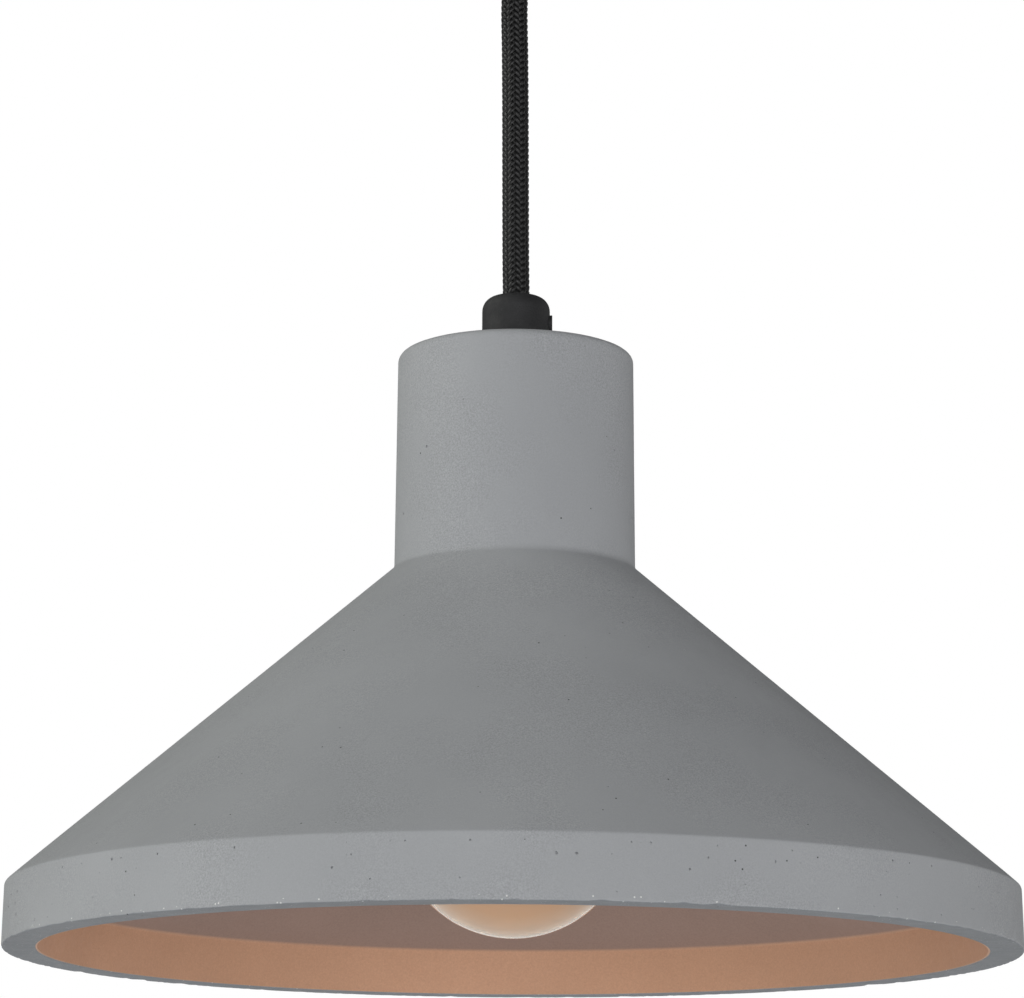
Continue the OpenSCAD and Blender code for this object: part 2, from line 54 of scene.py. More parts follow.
# ---------------------------------------------------------------------------
# Where things are, from the frame. Lengths are metres.
# ---------------------------------------------------------------------------
RIM_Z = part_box("shade")[0].z
NECK_TOP_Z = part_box("shade")[1].z
RIM_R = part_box("shade")[1].x
BAND_H = 15 * MM
NECK_FOOT_Z = RIM_Z + 96.4 * MM
NECK_FOOT_R = 30.3 * MM
NECK_TOP_R = 29.9 * MM
BAND_TOP_R = RIM_R - 0.3 * MM
NECK_CEILING_Z = NECK_TOP_Z - 9 * MM
NECK_BORE_R = 22.4 * MM
CORD_HOLE_R = 5.25 * MM
INNER_RIM_R = RIM_R - 8.3 * MM
INNER_BAND_R = RIM_R - 9.6 * MM
INNER_BAND_Z = RIM_Z + 12.1 * MM
CONE_SLOPE = (NECK_FOOT_Z - RIM_Z - BAND_H) / (BAND_TOP_R - NECK_FOOT_R)
INNER_FOOT_Z = INNER_BAND_Z + (INNER_BAND_R - NECK_BORE_R) * CONE_SLOPE
INNER_BAND_ROUND = 1.2 * MM
INNER_FOOT_ROUND = 2 * MM
COAT = 0.4 * MM

# The hanging cord's route, from the lamp's grip up to the canopy's grip
CORD_D = 7 * MM
CORD_ROUTE = [
    (0, 0, -0.1397), (0, 0, -0.136), (-0.00015, 0, -0.126), (-0.00025, 0, -0.113),
    (-0.00035, 0.0001, -0.099), (-0.00045, 0.0002, -0.085), (-0.0006, 0.0002, -0.072),
    (-0.0008, 0.0001, -0.0585), (-0.0001, 0, -0.049), (0, 0, -0.0448),
]

# The mains wires inside the canopy, from the cord's stripped end to the terminals
WIRE_R = 1.1 * MM
WIRE_ROUTE = [
    (-0.0016, 0, -0.02), (-0.0016, 0, -0.0184), (-0.0018, 0.0008, -0.015), (-0.0025, 0.003, -0.0128),
    (-0.0039, 0.0068, -0.0122), (-0.0052, 0.0104, -0.0146), (-0.0059, 0.0128, -0.019),
    (-0.006, 0.0148, -0.0214), (-0.006, 0.018, -0.0216),
]

# The bulb's glass: a globe, then a hollow curve that rises to the neck
GLOBE_R = 29.8 * MM
GLOBE_Z = RIM_Z + 34 * MM
GLASS_T = 1 * MM
BULB_NECK_R = 14 * MM
SHOULDER_Z = GLOBE_Z + 46 * MM
STICK_TOP = Vector((4.6 * MM, 0, RIM_Z + 62 * MM))
STICK_FOOT = Vector((11 * MM, 0, RIM_Z + 26 * MM))


# ---------------------------------------------------------------------------
# Materials
# ---------------------------------------------------------------------------
# Painted shade: the dark inside of air holes too small to model
PORE_SHADE_COLOUR = (0.05, 0.052, 0.056)
GRIT_COLOUR = (0.6, 0.6, 0.59)
# Painted shade: faces that look down are darkened and tinted blue
UNDERSIDE_SHADE_TINT = (0.65, 0.67, 0.70)
# Painted highlight at the glass's grazing edges
GLASS_EDGE_HIGHLIGHT = (0.94, 0.9, 0.78)


class Shader:
    """One procedural material: short calls for the nodes used below."""

    def __init__(self, name, rough=0.5, metal=0.0, specular=0.5):
        self.material = bpy.data.materials.new(name)
        self.material.use_nodes = True
        self.tree = self.material.node_tree
        self.bsdf = self.tree.nodes["Principled BSDF"]
        self.set("Roughness", rough)
        self.set("Metallic", metal)
        self.set("Specular IOR Level", specular)
        self.place = self.node("ShaderNodeTexCoord").outputs["Object"]

    def node(self, kind, **values):
        """A new node of a kind, with its settings."""
        made = self.tree.nodes.new(kind)
        for key, value in values.items():
            setattr(made, key, value)
        return made

    def link(self, source, target):
        self.tree.links.new(source, target)

    def set(self, socket, value):
        """Sets one of the shader's own sockets, from a number, a colour or another node."""
        target = self.bsdf.inputs[socket]
        if isinstance(value, bpy.types.NodeSocket):
            self.link(value, target)
        else:
            target.default_value = (*value, 1) if isinstance(value, tuple) else value
        return self

    def feed(self, target, value):
        """Gives a node's input a value, or a link from another node."""
        if isinstance(value, bpy.types.NodeSocket):
            self.link(value, target)
        else:
            target.default_value = value

    def stretched(self, x, y, z):
        """The object's coordinates, scaled along its axes."""
        mapping = self.node("ShaderNodeMapping")
        self.link(self.place, mapping.inputs["Vector"])
        mapping.inputs["Scale"].default_value = (x, y, z)
        return mapping.outputs["Vector"]

    def noise(self, size, detail=3.0, rough=0.5, place=None):
        """Noise whose lumps are about size metres across."""
        made = self.node("ShaderNodeTexNoise")
        self.link(place or self.place, made.inputs["Vector"])
        made.inputs["Scale"].default_value = 1 / size
        made.inputs["Detail"].default_value = detail
        made.inputs["Roughness"].default_value = rough
        return made.outputs["Fac"]

    def dots(self, size, place=None):
        """Distance to the nearest of many scattered points, in cell widths."""
        made = self.node("ShaderNodeTexVoronoi")
        self.link(place or self.place, made.inputs["Vector"])
        made.inputs["Scale"].default_value = 1 / size
        return made.outputs["Distance"]

    def facing_up(self):
        """How far the surface faces up, from -1 to 1, in the object's own frame."""
        made = self.node("ShaderNodeSeparateXYZ")
        self.link(self.place.node.outputs["Normal"], made.inputs["Vector"])
        return made.outputs["Z"]

    def height(self):
        """Height above the object's origin, in metres."""
        made = self.node("ShaderNodeSeparateXYZ")
        self.link(self.place, made.inputs["Vector"])
        return made.outputs["Z"]

    def ramp(self, fac, *stops):
        """Colours or grey levels at positions from 0 to 1."""
        made = self.node("ShaderNodeValToRGB")
        self.link(fac, made.inputs["Fac"])
        points = made.color_ramp.elements
        while len(points) < len(stops):
            points.new(0.5)
        for point, (at, value) in zip(points, stops):
            point.position = at
            colour = value if isinstance(value, tuple) else (value, value, value)
            point.color = (*colour, 1)
        return made.outputs["Color"]

    def mix(self, fac, a, b, blend="MIX"):
        """Two colours mixed by fac, which is a share from 0 to 1 or a node's output."""
        made = self.node("ShaderNodeMix", data_type="RGBA", blend_type=blend)
        self.feed(made.inputs["Factor"], fac)
        for socket, value in ((made.inputs["A"], a), (made.inputs["B"], b)):
            self.feed(socket, (*value, 1) if isinstance(value, tuple) else value)
        return made.outputs["Result"]

    def math(self, operation, a, b=0.0):
        """One operation on two values, each a number or a socket."""
        made = self.node("ShaderNodeMath", operation=operation)
        self.feed(made.inputs[0], a)
        self.feed(made.inputs[1], b)
        return made.outputs["Value"]

    def bump(self, height, depth, strength=1.0, under=None):
        """Relief of depth metres from a height of 0 to 1."""
        made = self.node("ShaderNodeBump")
        made.inputs["Distance"].default_value = depth
        made.inputs["Strength"].default_value = strength
        self.link(height, made.inputs["Height"])
        if under:
            self.link(under, made.inputs["Normal"])
        return made.outputs["Normal"]


def concrete(name, dark, light):
    """Cast concrete: soft mottling, sandy grain in patches, tiny pores as dark dots of painted shade,
    pale grit at the rim and painted shade on faces that look down.
    """
    s = Shader(name, specular=0.3)
    cloud = s.ramp(s.noise(48 * MM, 4), (0.3, dark), (0.7, light))
    sand = s.ramp(s.noise(0.38 * MM, 2, 0.7), (0.3, 0.8), (0.7, 1.16))
    patch = s.ramp(s.noise(26 * MM, 3), (0.42, 0.2), (0.6, 1.0))
    colour = s.mix(patch, cloud, s.mix(1.0, cloud, sand, "MULTIPLY"))
    # Painted shade: dark dots, in random patches, where tiny air holes would hold shade
    pore = s.math("LESS_THAN", s.dots(4.4 * MM), 0.05)
    pore_shade_patch = s.ramp(s.noise(15 * MM), (0.5, 0.0), (0.56, 1.0))
    colour = s.mix(s.math("MULTIPLY", pore, pore_shade_patch), colour, PORE_SHADE_COLOUR)
    grit = s.math("LESS_THAN", s.dots(1.5 * MM), 0.13)
    low = s.math("LESS_THAN", s.height(), RIM_Z + 1.3 * MM)
    grit_patch = s.ramp(s.noise(9 * MM), (0.45, 0.0), (0.52, 1.0))
    colour = s.mix(s.math("MULTIPLY", s.math("MULTIPLY", grit, low), grit_patch), colour, GRIT_COLOUR)
    # Painted shade: faces that look down take a darker, bluer colour, as little light reaches them from
    # below
    underside_shade = s.ramp(s.math("MULTIPLY", s.facing_up(), -1.0), (0.5, 0.0), (0.8, 1.0))
    colour = s.mix(underside_shade, colour, s.mix(1.0, colour, UNDERSIDE_SHADE_TINT, "MULTIPLY"))
    s.set("Base Color", colour)
    s.set("Roughness", s.ramp(s.noise(6 * MM, 4), (0.3, 0.62), (0.7, 0.8)))
    fine = s.bump(s.noise(0.38 * MM, 3, 0.7), 0.07 * MM, 0.7)
    s.set("Normal", s.bump(s.noise(7 * MM, 2), 0.12 * MM, 0.35, fine))
    return s.material


def copper_paint(name, on_band, cone_painted_shade):
    """Matt metallic copper paint, sprayed over the cast inside, with painted shade: darker and greyer up
    on the cone.
    """
    s = Shader(name, metal=0.25, specular=0.4)
    cloud = s.ramp(s.noise(30 * MM, 3), (0.3, (0.93, 0.93, 0.93)), (0.7, (1.0, 1.0, 1.0)))
    decimetres_up = s.math("MULTIPLY", s.math("SUBTRACT", s.height(), RIM_Z), 10.0)
    # Painted shade: above the band the paint turns darker and greyer, as the cone faces down away from
    # the light
    up = s.ramp(decimetres_up, (0.119, on_band), (0.124, cone_painted_shade))
    flake = s.ramp(s.noise(0.5 * MM, 3, 0.7), (0.3, 0.9), (0.7, 1.05))
    s.set("Base Color", s.mix(1.0, s.mix(1.0, up, cloud, "MULTIPLY"), flake, "MULTIPLY"))
    s.set("Roughness", s.ramp(s.noise(1.5 * MM, 3), (0.3, 0.5), (0.7, 0.62)))
    s.set("Normal", s.bump(s.noise(1.2 * MM, 3, 0.6), 0.03 * MM, 0.5))
    return s.material


def braid(name, dark, light):
    """Textile yarn: fine fibres along the plaits."""
    s = Shader(name, rough=0.36, specular=0.3)
    fibre = s.noise(0.16 * MM, 3, 0.6, s.stretched(1.0, 1.0, 0.35))
    s.set("Base Color", s.ramp(fibre, (0.3, dark), (0.75, light)))
    s.bsdf.inputs["Sheen Weight"].default_value = 0.02
    s.bsdf.inputs["Sheen Roughness"].default_value = 0.4
    s.set("Normal", s.bump(fibre, 0.05 * MM, 0.6))
    return s.material


def plastic(name, light, dark, rough, grain, depth, specular=0.45):
    """Moulded plastic: an almost even colour over a fine moulded grain."""
    s = Shader(name, specular=specular)
    s.set("Base Color", s.ramp(s.noise(6 * MM, 3), (0.3, dark), (0.7, light)))
    s.set("Roughness", s.ramp(s.noise(2 * MM, 3), (0.3, rough - 0.05), (0.7, rough + 0.05)))
    s.set("Normal", s.bump(s.noise(grain, 3, 0.6), depth, 0.6))
    return s.material


def metal(name, light, dark, rough, line=(1.0, 1.0, 1.0), grain=0.4 * MM):
    """Bare metal with drawing lines or a zinc coat's cloudiness."""
    s = Shader(name, metal=1.0)
    lines = s.noise(grain, 4, 0.6, s.stretched(*line))
    cloud = s.ramp(s.noise(5 * MM, 3), (0.3, dark), (0.7, light))
    s.set("Base Color", s.mix(0.25, cloud, s.ramp(lines, (0.3, dark), (0.7, light)), "MULTIPLY"))
    s.set("Roughness", s.ramp(lines, (0.3, rough - 0.07), (0.7, rough + 0.07)))
    s.set("Normal", s.bump(lines, 0.01 * MM, 0.4))
    return s.material


def glass(name, tint, clear=1.0, rough=0.0):
    """Blown glass. What isn't clear is a milky tint that light catches, painted paler at the grazing
    edges as a highlight.
    """
    s = Shader(name, rough=rough)
    edge = s.node("ShaderNodeLayerWeight")
    edge.inputs["Blend"].default_value = 0.4
    # Painted highlight: the tint turns pale towards the grazing edges
    pale = tuple(0.35 * c + 0.65 * e for c, e in zip(tint, GLASS_EDGE_HIGHLIGHT))
    body = s.ramp(edge.outputs["Facing"], (0.35, tint), (0.8, pale))
    cloud = s.ramp(s.noise(20 * MM, 2), (0.3, 0.97), (0.7, 1.0))
    s.set("Base Color", s.mix(1.0, body, cloud, "MULTIPLY"))
    s.bsdf.inputs["Transmission Weight"].default_value = clear
    s.bsdf.inputs["IOR"].default_value = 1.5
    return s.material


# Each material slot's maker and what it takes
RECIPES = {
    "bracket_steel": (metal, (0.66, 0.67, 0.68), (0.5, 0.51, 0.53), 0.38, (0.2, 1, 1)),
    "black_metal": (plastic, (0.024, 0.024, 0.025), (0.017, 0.017, 0.018), 0.42, 0.5 * MM, 0.03 * MM),
    "zinc_steel": (metal, (0.72, 0.73, 0.75), (0.55, 0.57, 0.6), 0.3),
    "brass": (metal, (0.83, 0.62, 0.3), (0.66, 0.46, 0.2), 0.3),
    "black_grip_plastic": (
        plastic, (0.021, 0.021, 0.022), (0.014, 0.014, 0.015), 0.66, 0.5 * MM, 0.25 * MM, 0.3),
    "holder_plastic": (plastic, (0.02, 0.019, 0.018), (0.012, 0.012, 0.012), 0.3, 1 * MM, 0.01 * MM),
    "white_plastic": (plastic, (0.8, 0.79, 0.74), (0.72, 0.71, 0.66), 0.4, 0.8 * MM, 0.01 * MM),
    "white_ceramic": (plastic, (0.83, 0.82, 0.78), (0.74, 0.73, 0.69), 0.5, 0.4 * MM, 0.03 * MM),
    "concrete": (concrete, (0.280, 0.287, 0.297), (0.306, 0.313, 0.323)),
    # The copper coat's second colour is painted shade on the inner cone
    "copper_coat": (copper_paint, (0.60, 0.345, 0.22), (0.325, 0.222, 0.185)),
    "black_rubber": (plastic, (0.03, 0.03, 0.03), (0.02, 0.02, 0.02), 0.7, 0.5 * MM, 0.03 * MM),
    "black_braid": (braid, (0.001, 0.001, 0.0012), (0.005, 0.0048, 0.005)),
    "brown_insulation": (plastic, (0.15, 0.06, 0.03), (0.12, 0.05, 0.025), 0.45, 1 * MM, 0.01 * MM),
    "blue_insulation": (plastic, (0.03, 0.13, 0.42), (0.025, 0.11, 0.36), 0.45, 1 * MM, 0.01 * MM),
    "solder": (metal, (0.75, 0.75, 0.75), (0.6, 0.6, 0.6), 0.35),
    "cap_metal": (metal, (0.8, 0.72, 0.55), (0.68, 0.6, 0.44), 0.25),
    "black_glass": (plastic, (0.03, 0.02, 0.03), (0.02, 0.012, 0.02), 0.12, 2 * MM, 0.01 * MM),
    "bulb_glass": (glass, (0.95, 0.63, 0.39), 0.52),
    "stem_glass": (glass, (0.95, 0.96, 0.95)),
    "filament": (plastic, (0.9, 0.55, 0.12), (0.8, 0.45, 0.08), 0.55, 0.3 * MM, 0.05 * MM),
    "filament_wire": (metal, (0.75, 0.75, 0.77), (0.6, 0.6, 0.63), 0.3),
    "circuit_board": (plastic, (0.04, 0.26, 0.12), (0.03, 0.2, 0.09), 0.45, 1 * MM, 0.02 * MM),
}
MATERIALS = {name: make(name, *values) for name, (make, *values) in RECIPES.items()}


def finish_piece(piece, body, slot, material=None):
    """Gives a piece the material of a finish's slot, or another one, and the body that it moves with."""
    piece.data.materials.clear()
    piece.data.materials.append(MATERIALS[material or slot])
    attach(piece, body)
    return piece


for part in frame["record"]["subparts"]:
    cad_mesh = frame["nodes"][part["node"]].data
    cad_mesh.materials.clear()
    cad_mesh.materials.append(MATERIALS[part["material_slot"]])


# ---------------------------------------------------------------------------
# Mesh helpers
# ---------------------------------------------------------------------------
def rounded_corner(before, corner, after, radius, steps):
    """Points of the arc that rounds a corner between its two neighbours."""
    if radius <= 0:
        return [corner]
    u = (before - corner).normalized()
    v = (after - corner).normalized()
    half = math.acos(max(-1, min(1, u.dot(v)))) / 2
    centre = corner + (u + v).normalized() * radius / math.sin(half)
    start = corner + u * radius / math.tan(half) - centre
    end = corner + v * radius / math.tan(half) - centre
    first = math.atan2(start.y, start.x)
    turn = (math.atan2(end.y, end.x) - first + math.pi) % (2 * math.pi) - math.pi
    angles = [first + turn * i / steps for i in range(steps + 1)]
    return [centre + radius * Vector((math.cos(a), math.sin(a))) for a in angles]


def arc(centre, reach, start, end, steps):
    """Points of an arc. reach is its radius, or an ellipse's reach across and up."""
    across, up = reach if isinstance(reach, tuple) else (reach, reach)
    angles = (start + (end - start) * i / steps for i in range(steps + 1))
    return [centre + Vector((across * math.cos(a), up * math.sin(a))) for a in angles]


def outline(corners, steps=6, closed=True):
    """Points (radius, height) through corners given as (radius, height, corner radius)."""
    flat = [Vector(c[:2]) for c in corners]
    count = len(flat)
    points = []
    for i, (r, z, rounding) in enumerate(corners):
        end = not closed and i in (0, count - 1)
        points += [flat[i]] if end else rounded_corner(
            flat[i - 1], flat[i], flat[(i + 1) % count], rounding, steps)
    return points


def spread(points, longest, support=0.3 * MM, closed=True):
    """Splits long straight runs, with a close loop at each end so that shading stays flat."""
    out = []
    count = len(points)
    for i in range(count if closed else count - 1):
        a, b = points[i], points[(i + 1) % count]
        length = (b - a).length
        out.append(a)
        if length > 3 * support:
            direction = (b - a) / length
            steps = max(1, math.ceil((length - 2 * support) / longest))
            out += [a + direction * (support + (length - 2 * support) * k / steps)
                    for k in range(steps + 1)]
    if not closed:
        out.append(points[-1])
    return out


def smooth_mesh(name, bm, sharp_angle=40):
    """A new object from a bmesh, smooth but for edges sharper than an angle in degrees."""
    bmesh.ops.recalc_face_normals(bm, faces=bm.faces)
    limit = math.radians(sharp_angle)
    for face in bm.faces:
        face.smooth = True
    for edge in bm.edges:
        if len(edge.link_faces) == 2 and edge.calc_face_angle(0) > limit:
            edge.smooth = False
    mesh = bpy.data.meshes.new(name)
    bm.to_mesh(mesh)
    bm.free()
    piece = bpy.data.objects.new(name, mesh)
    bpy.context.scene.collection.objects.link(piece)
    return piece


def join_rings(bm, low, high):
    """Faces between two closed rings with as many vertices, twice as many, half or just one."""
    if len(low) + len(high) == 2:
        return
    if len(low) > len(high):
        low, high = high, low
    count = len(high)
    for k in range(count):
        n = (k + 1) % count
        if len(low) == 1:
            bm.faces.new((low[0], high[n], high[k]))
        elif len(low) == count:
            bm.faces.new((low[k], low[n], high[n], high[k]))
        elif k % 2 == 0:
            first, second = low[k // 2], low[(k // 2 + 1) % len(low)]
            bm.faces.new((first, second, high[(k + 2) % count], high[n], high[k]))


def lathe(points, segments, shape=None):
    """A bmesh turned about Z from a closed outline. shape moves each point of the surface.
    segments is a number, or gives one for each radius."""
    bm = bmesh.new()
    rings = []
    for r, z in points:
        ring = []
        count = segments(r) if callable(segments) else segments
        for k in range(count if r > 1e-7 else 1):
            a = 2 * math.pi * k / count
            place = Vector((r * math.cos(a), r * math.sin(a), z))
            ring.append(bm.verts.new(shape(place) if shape else place))
        rings.append(ring)
    for i in range(len(rings)):
        join_rings(bm, rings[i], rings[(i + 1) % len(rings)])
    return bm


def tube(bm, line, radii, sides=16):
    """A closed tube along a line of points, with one radius or one for each point."""
    rings = []
    side = Vector((1, 0, 0))
    for i, centre in enumerate(line):
        radius = radii[i] if isinstance(radii, list) else radii
        ahead = (line[min(i + 1, len(line) - 1)] - line[max(i - 1, 0)]).normalized()
        side = (side - ahead * ahead.dot(side)).normalized()
        other = ahead.cross(side)
        rings.append([bm.verts.new(centre + radius * (math.cos(a) * side + math.sin(a) * other))
                      for a in (2 * math.pi * k / sides for k in range(sides))])
    for low, high in zip(rings, rings[1:]):
        join_rings(bm, low, high)
    bm.faces.new(reversed(rings[0]))
    bm.faces.new(rings[-1])


# ---------------------------------------------------------------------------
# Camera
# ---------------------------------------------------------------------------
def camera():
    """A long lens a little below the rim, looking up at the lamp."""
    distance = 0.9213
    below_rim = 0.0866
    pitch_up = 0.2152
    roll = 0.0052
    focal_in_widths = 3731 / 1024
    data = bpy.data.cameras.new("camera")
    data.sensor_width = 36
    data.lens = focal_in_widths * data.sensor_width
    data.shift_x = -0.003
    data.shift_y = 0.0009
    made = bpy.data.objects.new("camera", data)
    bpy.context.scene.collection.objects.link(made)
    turn = Matrix.Rotation(math.pi / 2 + pitch_up, 4, "X") @ Matrix.Rotation(roll, 4, "Z")
    made.matrix_world = Matrix.Translation((0, -distance, RIM_Z - below_rim)) @ turn
    bpy.context.scene.camera = made


camera()


# ---------------------------------------------------------------------------
# The braided cord
# ---------------------------------------------------------------------------
CARRIERS = 12
BRAID_LAY = 19.2 * MM
YARN_W = 0.57 * MM
YARN_T = 0.24 * MM
WEAVE = 0.23 * MM


def along(route, step):
    """A smooth line through a route's points, with points about step apart."""
    knots = [Vector(p) for p in route]
    line = []
    for i in range(len(knots) - 1):
        p0, p1, p2, p3 = knots[max(i - 1, 0)], knots[i], knots[i + 1], knots[min(i + 2, len(knots) - 1)]
        count = max(1, round((p2 - p1).length / step))
        for k in range(count):
            t = k / count
            line.append(0.5 * (2 * p1 + (p2 - p0) * t + (2 * p0 - 5 * p1 + 4 * p2 - p3) * t * t
                               + (3 * p1 - p0 - 3 * p2 + p3) * t * t * t))
    line.append(knots[-1])
    return line


def yarn(bm, line, radius, index, hand):
    """One yarn of the sleeve, wound right (hand 1) or left (-1), over two and under two."""
    sides = 6
    height = 0.0
    rings = []
    for i, centre in enumerate(line):
        ahead = (line[min(i + 1, len(line) - 1)] - line[max(i - 1, 0)]).normalized()
        if i:
            height += (centre - line[i - 1]).length
        angle = 2 * math.pi * (index / CARRIERS + hand * height / BRAID_LAY)
        crossings = hand * 2 * CARRIERS * height / BRAID_LAY
        lift = hand * WEAVE * math.cos(math.pi / 2 * (2 * index + crossings - 0.5))
        out = Vector((math.cos(angle), math.sin(angle), 0))
        out = (out - ahead * out.dot(ahead)).normalized()
        round_way = ahead.cross(out)
        winding = 2 * math.pi * radius / BRAID_LAY
        forward = (ahead + hand * winding * round_way).normalized()
        across = out.cross(forward)
        middle = centre + out * (radius + lift)
        ring = []
        for k in range(sides):
            a = 2 * math.pi * k / sides
            ring.append(bm.verts.new(middle + across * YARN_W * math.cos(a) + out * YARN_T * math.sin(a)))
        rings.append(ring)
    for low, high in zip(rings, rings[1:]):
        join_rings(bm, low, high)
    bm.faces.new(rings[0])
    bm.faces.new(reversed(rings[-1]))


def braided_sleeve(bm, line, radius):
    """All the yarns of the sleeve, half of them wound each way."""
    for hand in (1, -1):
        for index in range(CARRIERS):
            yarn(bm, line, radius, index, hand)


def hanging_cord():
    """The taut cord between the two grips: a braided sleeve over a plain core."""
    crossing = BRAID_LAY / CARRIERS / 2
    line = along(CORD_ROUTE, crossing / 3)
    bm = bmesh.new()
    braid_r = CORD_D / 2 - YARN_T - WEAVE
    braided_sleeve(bm, line, braid_r)
    tube(bm, line[::8] + [line[-1]], braid_r - 0.1 * MM)
    piece = finish_piece(smooth_mesh("braided_cord", bm, 80), "cord", "black_braid")
    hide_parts("cord")


hanging_cord()


# ---------------------------------------------------------------------------
# Cord grips: a domed top that falls away from the cord, and a bell mouth inside it
# ---------------------------------------------------------------------------
GRIP_R = 8.65 * MM
GRIP_H = 15.5 * MM
GRIP_CHANNEL_R = CORD_D / 2 + 0.4 * MM
GRIP_SOCKET_R = 5.05 * MM
GRIP_SOCKET_H = 5.6 * MM
SET_SCREW_Z = 8.5 * MM
SET_SCREW_HOLE_R = 2.55 * MM


def cut_hole(bm, name, start, end, radius):
    """Cuts a round hole from start to end out of a closed bmesh, into a new object."""
    solid = smooth_mesh(name, bm)
    cutter_bm = bmesh.new()
    tube(cutter_bm, [start, (start + end) / 2, end], radius, 40)
    cutter = smooth_mesh(name + "_cutter", cutter_bm)
    cut = solid.modifiers.new("cut", "BOOLEAN")
    cut.operation = "DIFFERENCE"
    cut.solver = "EXACT"
    cut.object = cutter
    done = bpy.data.meshes.new_from_object(solid.evaluated_get(bpy.context.evaluated_depsgraph_get()))
    bpy.data.objects.remove(solid)
    bpy.data.objects.remove(cutter)
    result = bmesh.new()
    result.from_mesh(done)
    return result


def cord_grip(name, base_z, up, body, node):
    """A grip from its base at base_z, its mouth upwards (up 1) or downwards (up -1)."""
    dome_drop = 3.6 * MM
    dome_in = 5.35 * MM
    mouth_depth = 3.2 * MM
    dome = arc(Vector((dome_in, GRIP_H - dome_drop)), (GRIP_R - dome_in, dome_drop), 0, math.pi / 2, 14)
    bell = arc(Vector((dome_in, GRIP_H - mouth_depth)), (dome_in - GRIP_CHANNEL_R, mouth_depth),
               math.pi / 2, math.pi, 10)[1:]
    foot = outline([(GRIP_R, 5 * MM, 0), (GRIP_R, 0, 0.5 * MM), (GRIP_SOCKET_R, 0, 0.3 * MM),
                    (GRIP_SOCKET_R, GRIP_SOCKET_H, 0), (GRIP_CHANNEL_R, GRIP_SOCKET_H, 0)], closed=False)
    points = [Vector((p.x, base_z + up * p.y)) for p in foot + bell[::-1] + dome[::-1]]
    bm = lathe(spread(points, 3 * MM), 96)
    start, end = (Vector((x, 0, base_z + up * SET_SCREW_Z)) for x in (2 * MM, 12 * MM))
    bm = cut_hole(bm, name, start, end, SET_SCREW_HOLE_R)
    piece = finish_piece(smooth_mesh(name, bm, 35), body, "black_grip_plastic")
    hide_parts(node)


cord_grip("lamp_cord_grip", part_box("lamp_grip")[0].z, 1, "head", "lamp_grip")
cord_grip("ceiling_cord_grip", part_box("canopy_grip")[1].z, -1, "canopy", "canopy_grip")


# ---------------------------------------------------------------------------
# The cast shade and the paint inside it
# ---------------------------------------------------------------------------
# The cast wall's lumps, as how many there are in a metre
WAVES = 22
RIPPLES = 70
WEAR_MARKS = 160
CHIPS = 300
FINE_CHIPS = 950
# How many air holes each stretch of the wall has
PORES = {"band": 90, "edge": 70, "cone": 60, "neck": 24}


def cast_shape(place):
    """The small unevenness of a cast and sanded wall, and the chipped edge of its rim."""
    r = math.hypot(place.x, place.y)
    out = Vector((place.x / r, place.y / r, 0))
    ripple = noise.noise(place * RIPPLES + Vector((5, 0, 0)))
    wave = noise.noise(place * WAVES) * 0.1 * MM + ripple * 0.03 * MM
    shift = wave * r / RIM_R
    if r > RIM_R - 3 * MM:
        shift = 0.5 * shift - 0.06 * MM
    low_edge = max(0, 1 - (place.z - RIM_Z) / (1.4 * MM)) * max(0, 1 - abs(r - RIM_R) / (1.6 * MM))
    chip = (max(0, noise.noise(place * CHIPS) - 0.3) * 1.4 * MM
            + max(0, noise.noise(place * FINE_CHIPS) - 0.1) * 0.55 * MM) * low_edge
    top_edge = max(0, 1 - abs(place.z - RIM_Z - BAND_H) / (1.2 * MM)) * (r > BAND_TOP_R - 1.5 * MM)
    wear = noise.noise(place * WEAR_MARKS + Vector((0, 9, 0))) * 0.1 * MM * top_edge
    return place + out * (shift - chip + min(0, wear)) + Vector((0, 0, chip * 0.4))


def add_pore(bm, face, radius, depth, rng):
    """A small uneven air hole in one four-sided face."""
    corners = list(face.verts)
    centre = face.calc_center_median()
    inward = -face.normal
    across = (corners[0].co - centre).normalized()
    other = face.normal.cross(across)
    lean = rng.uniform(0, math.pi)
    rim, wall = [], []
    for k in range(8):
        a = math.pi / 4 * k
        reach = radius * (0.72 + 0.28 * abs(math.cos(a - lean))) * rng.uniform(0.85, 1.0)
        way = (math.cos(a) * across + math.sin(a) * other) * reach
        rim.append(bm.verts.new(centre + way))
        wall.append(bm.verts.new(centre + way * 0.8 + inward * depth * 0.7))
    floor = bm.verts.new(centre + inward * depth)
    bm.faces.remove(face)
    for i in range(4):
        n = (i + 1) % 4
        bm.faces.new((corners[i], corners[n], rim[(2 * i + 2) % 8], rim[2 * i + 1], rim[2 * i]))
    for k in range(8):
        n = (k + 1) % 8
        bm.faces.new((rim[k], rim[n], wall[n], wall[k]))
        bm.faces.new((wall[k], wall[n], floor))


def pore_groups(bm):
    """Faces big enough for a pore: on the band and its top edge, on the cone and on the neck."""
    groups = {"band": [], "edge": [], "cone": [], "neck": []}
    for face in bm.faces:
        centre = face.calc_center_median()
        r = math.hypot(centre.x, centre.y)
        height = centre.z - RIM_Z
        size = min(edge.calc_length() for edge in face.edges)
        if size < 0.3 * MM or len(face.verts) != 4:
            continue
        if r > RIM_R - 2 * MM and 1.4 * MM < height < BAND_H - 1 * MM:
            groups["band"].append((face, size))
            if height > 0.6 * BAND_H:
                groups["edge"].append((face, size))
        elif centre.z < NECK_FOOT_Z and face.normal.z > 0.4:
            groups["cone"].append((face, size))
        elif NECK_FOOT_Z < centre.z < NECK_TOP_Z - 3 * MM and r > NECK_TOP_R - 1 * MM:
            groups["neck"].append((face, size))
    return groups


def shade_segments(r):
    """How many faces go round the shade at a radius: fewer further in, each a half of the last."""
    return 720 if r > 98 * MM else 360 if r > 48 * MM else 180


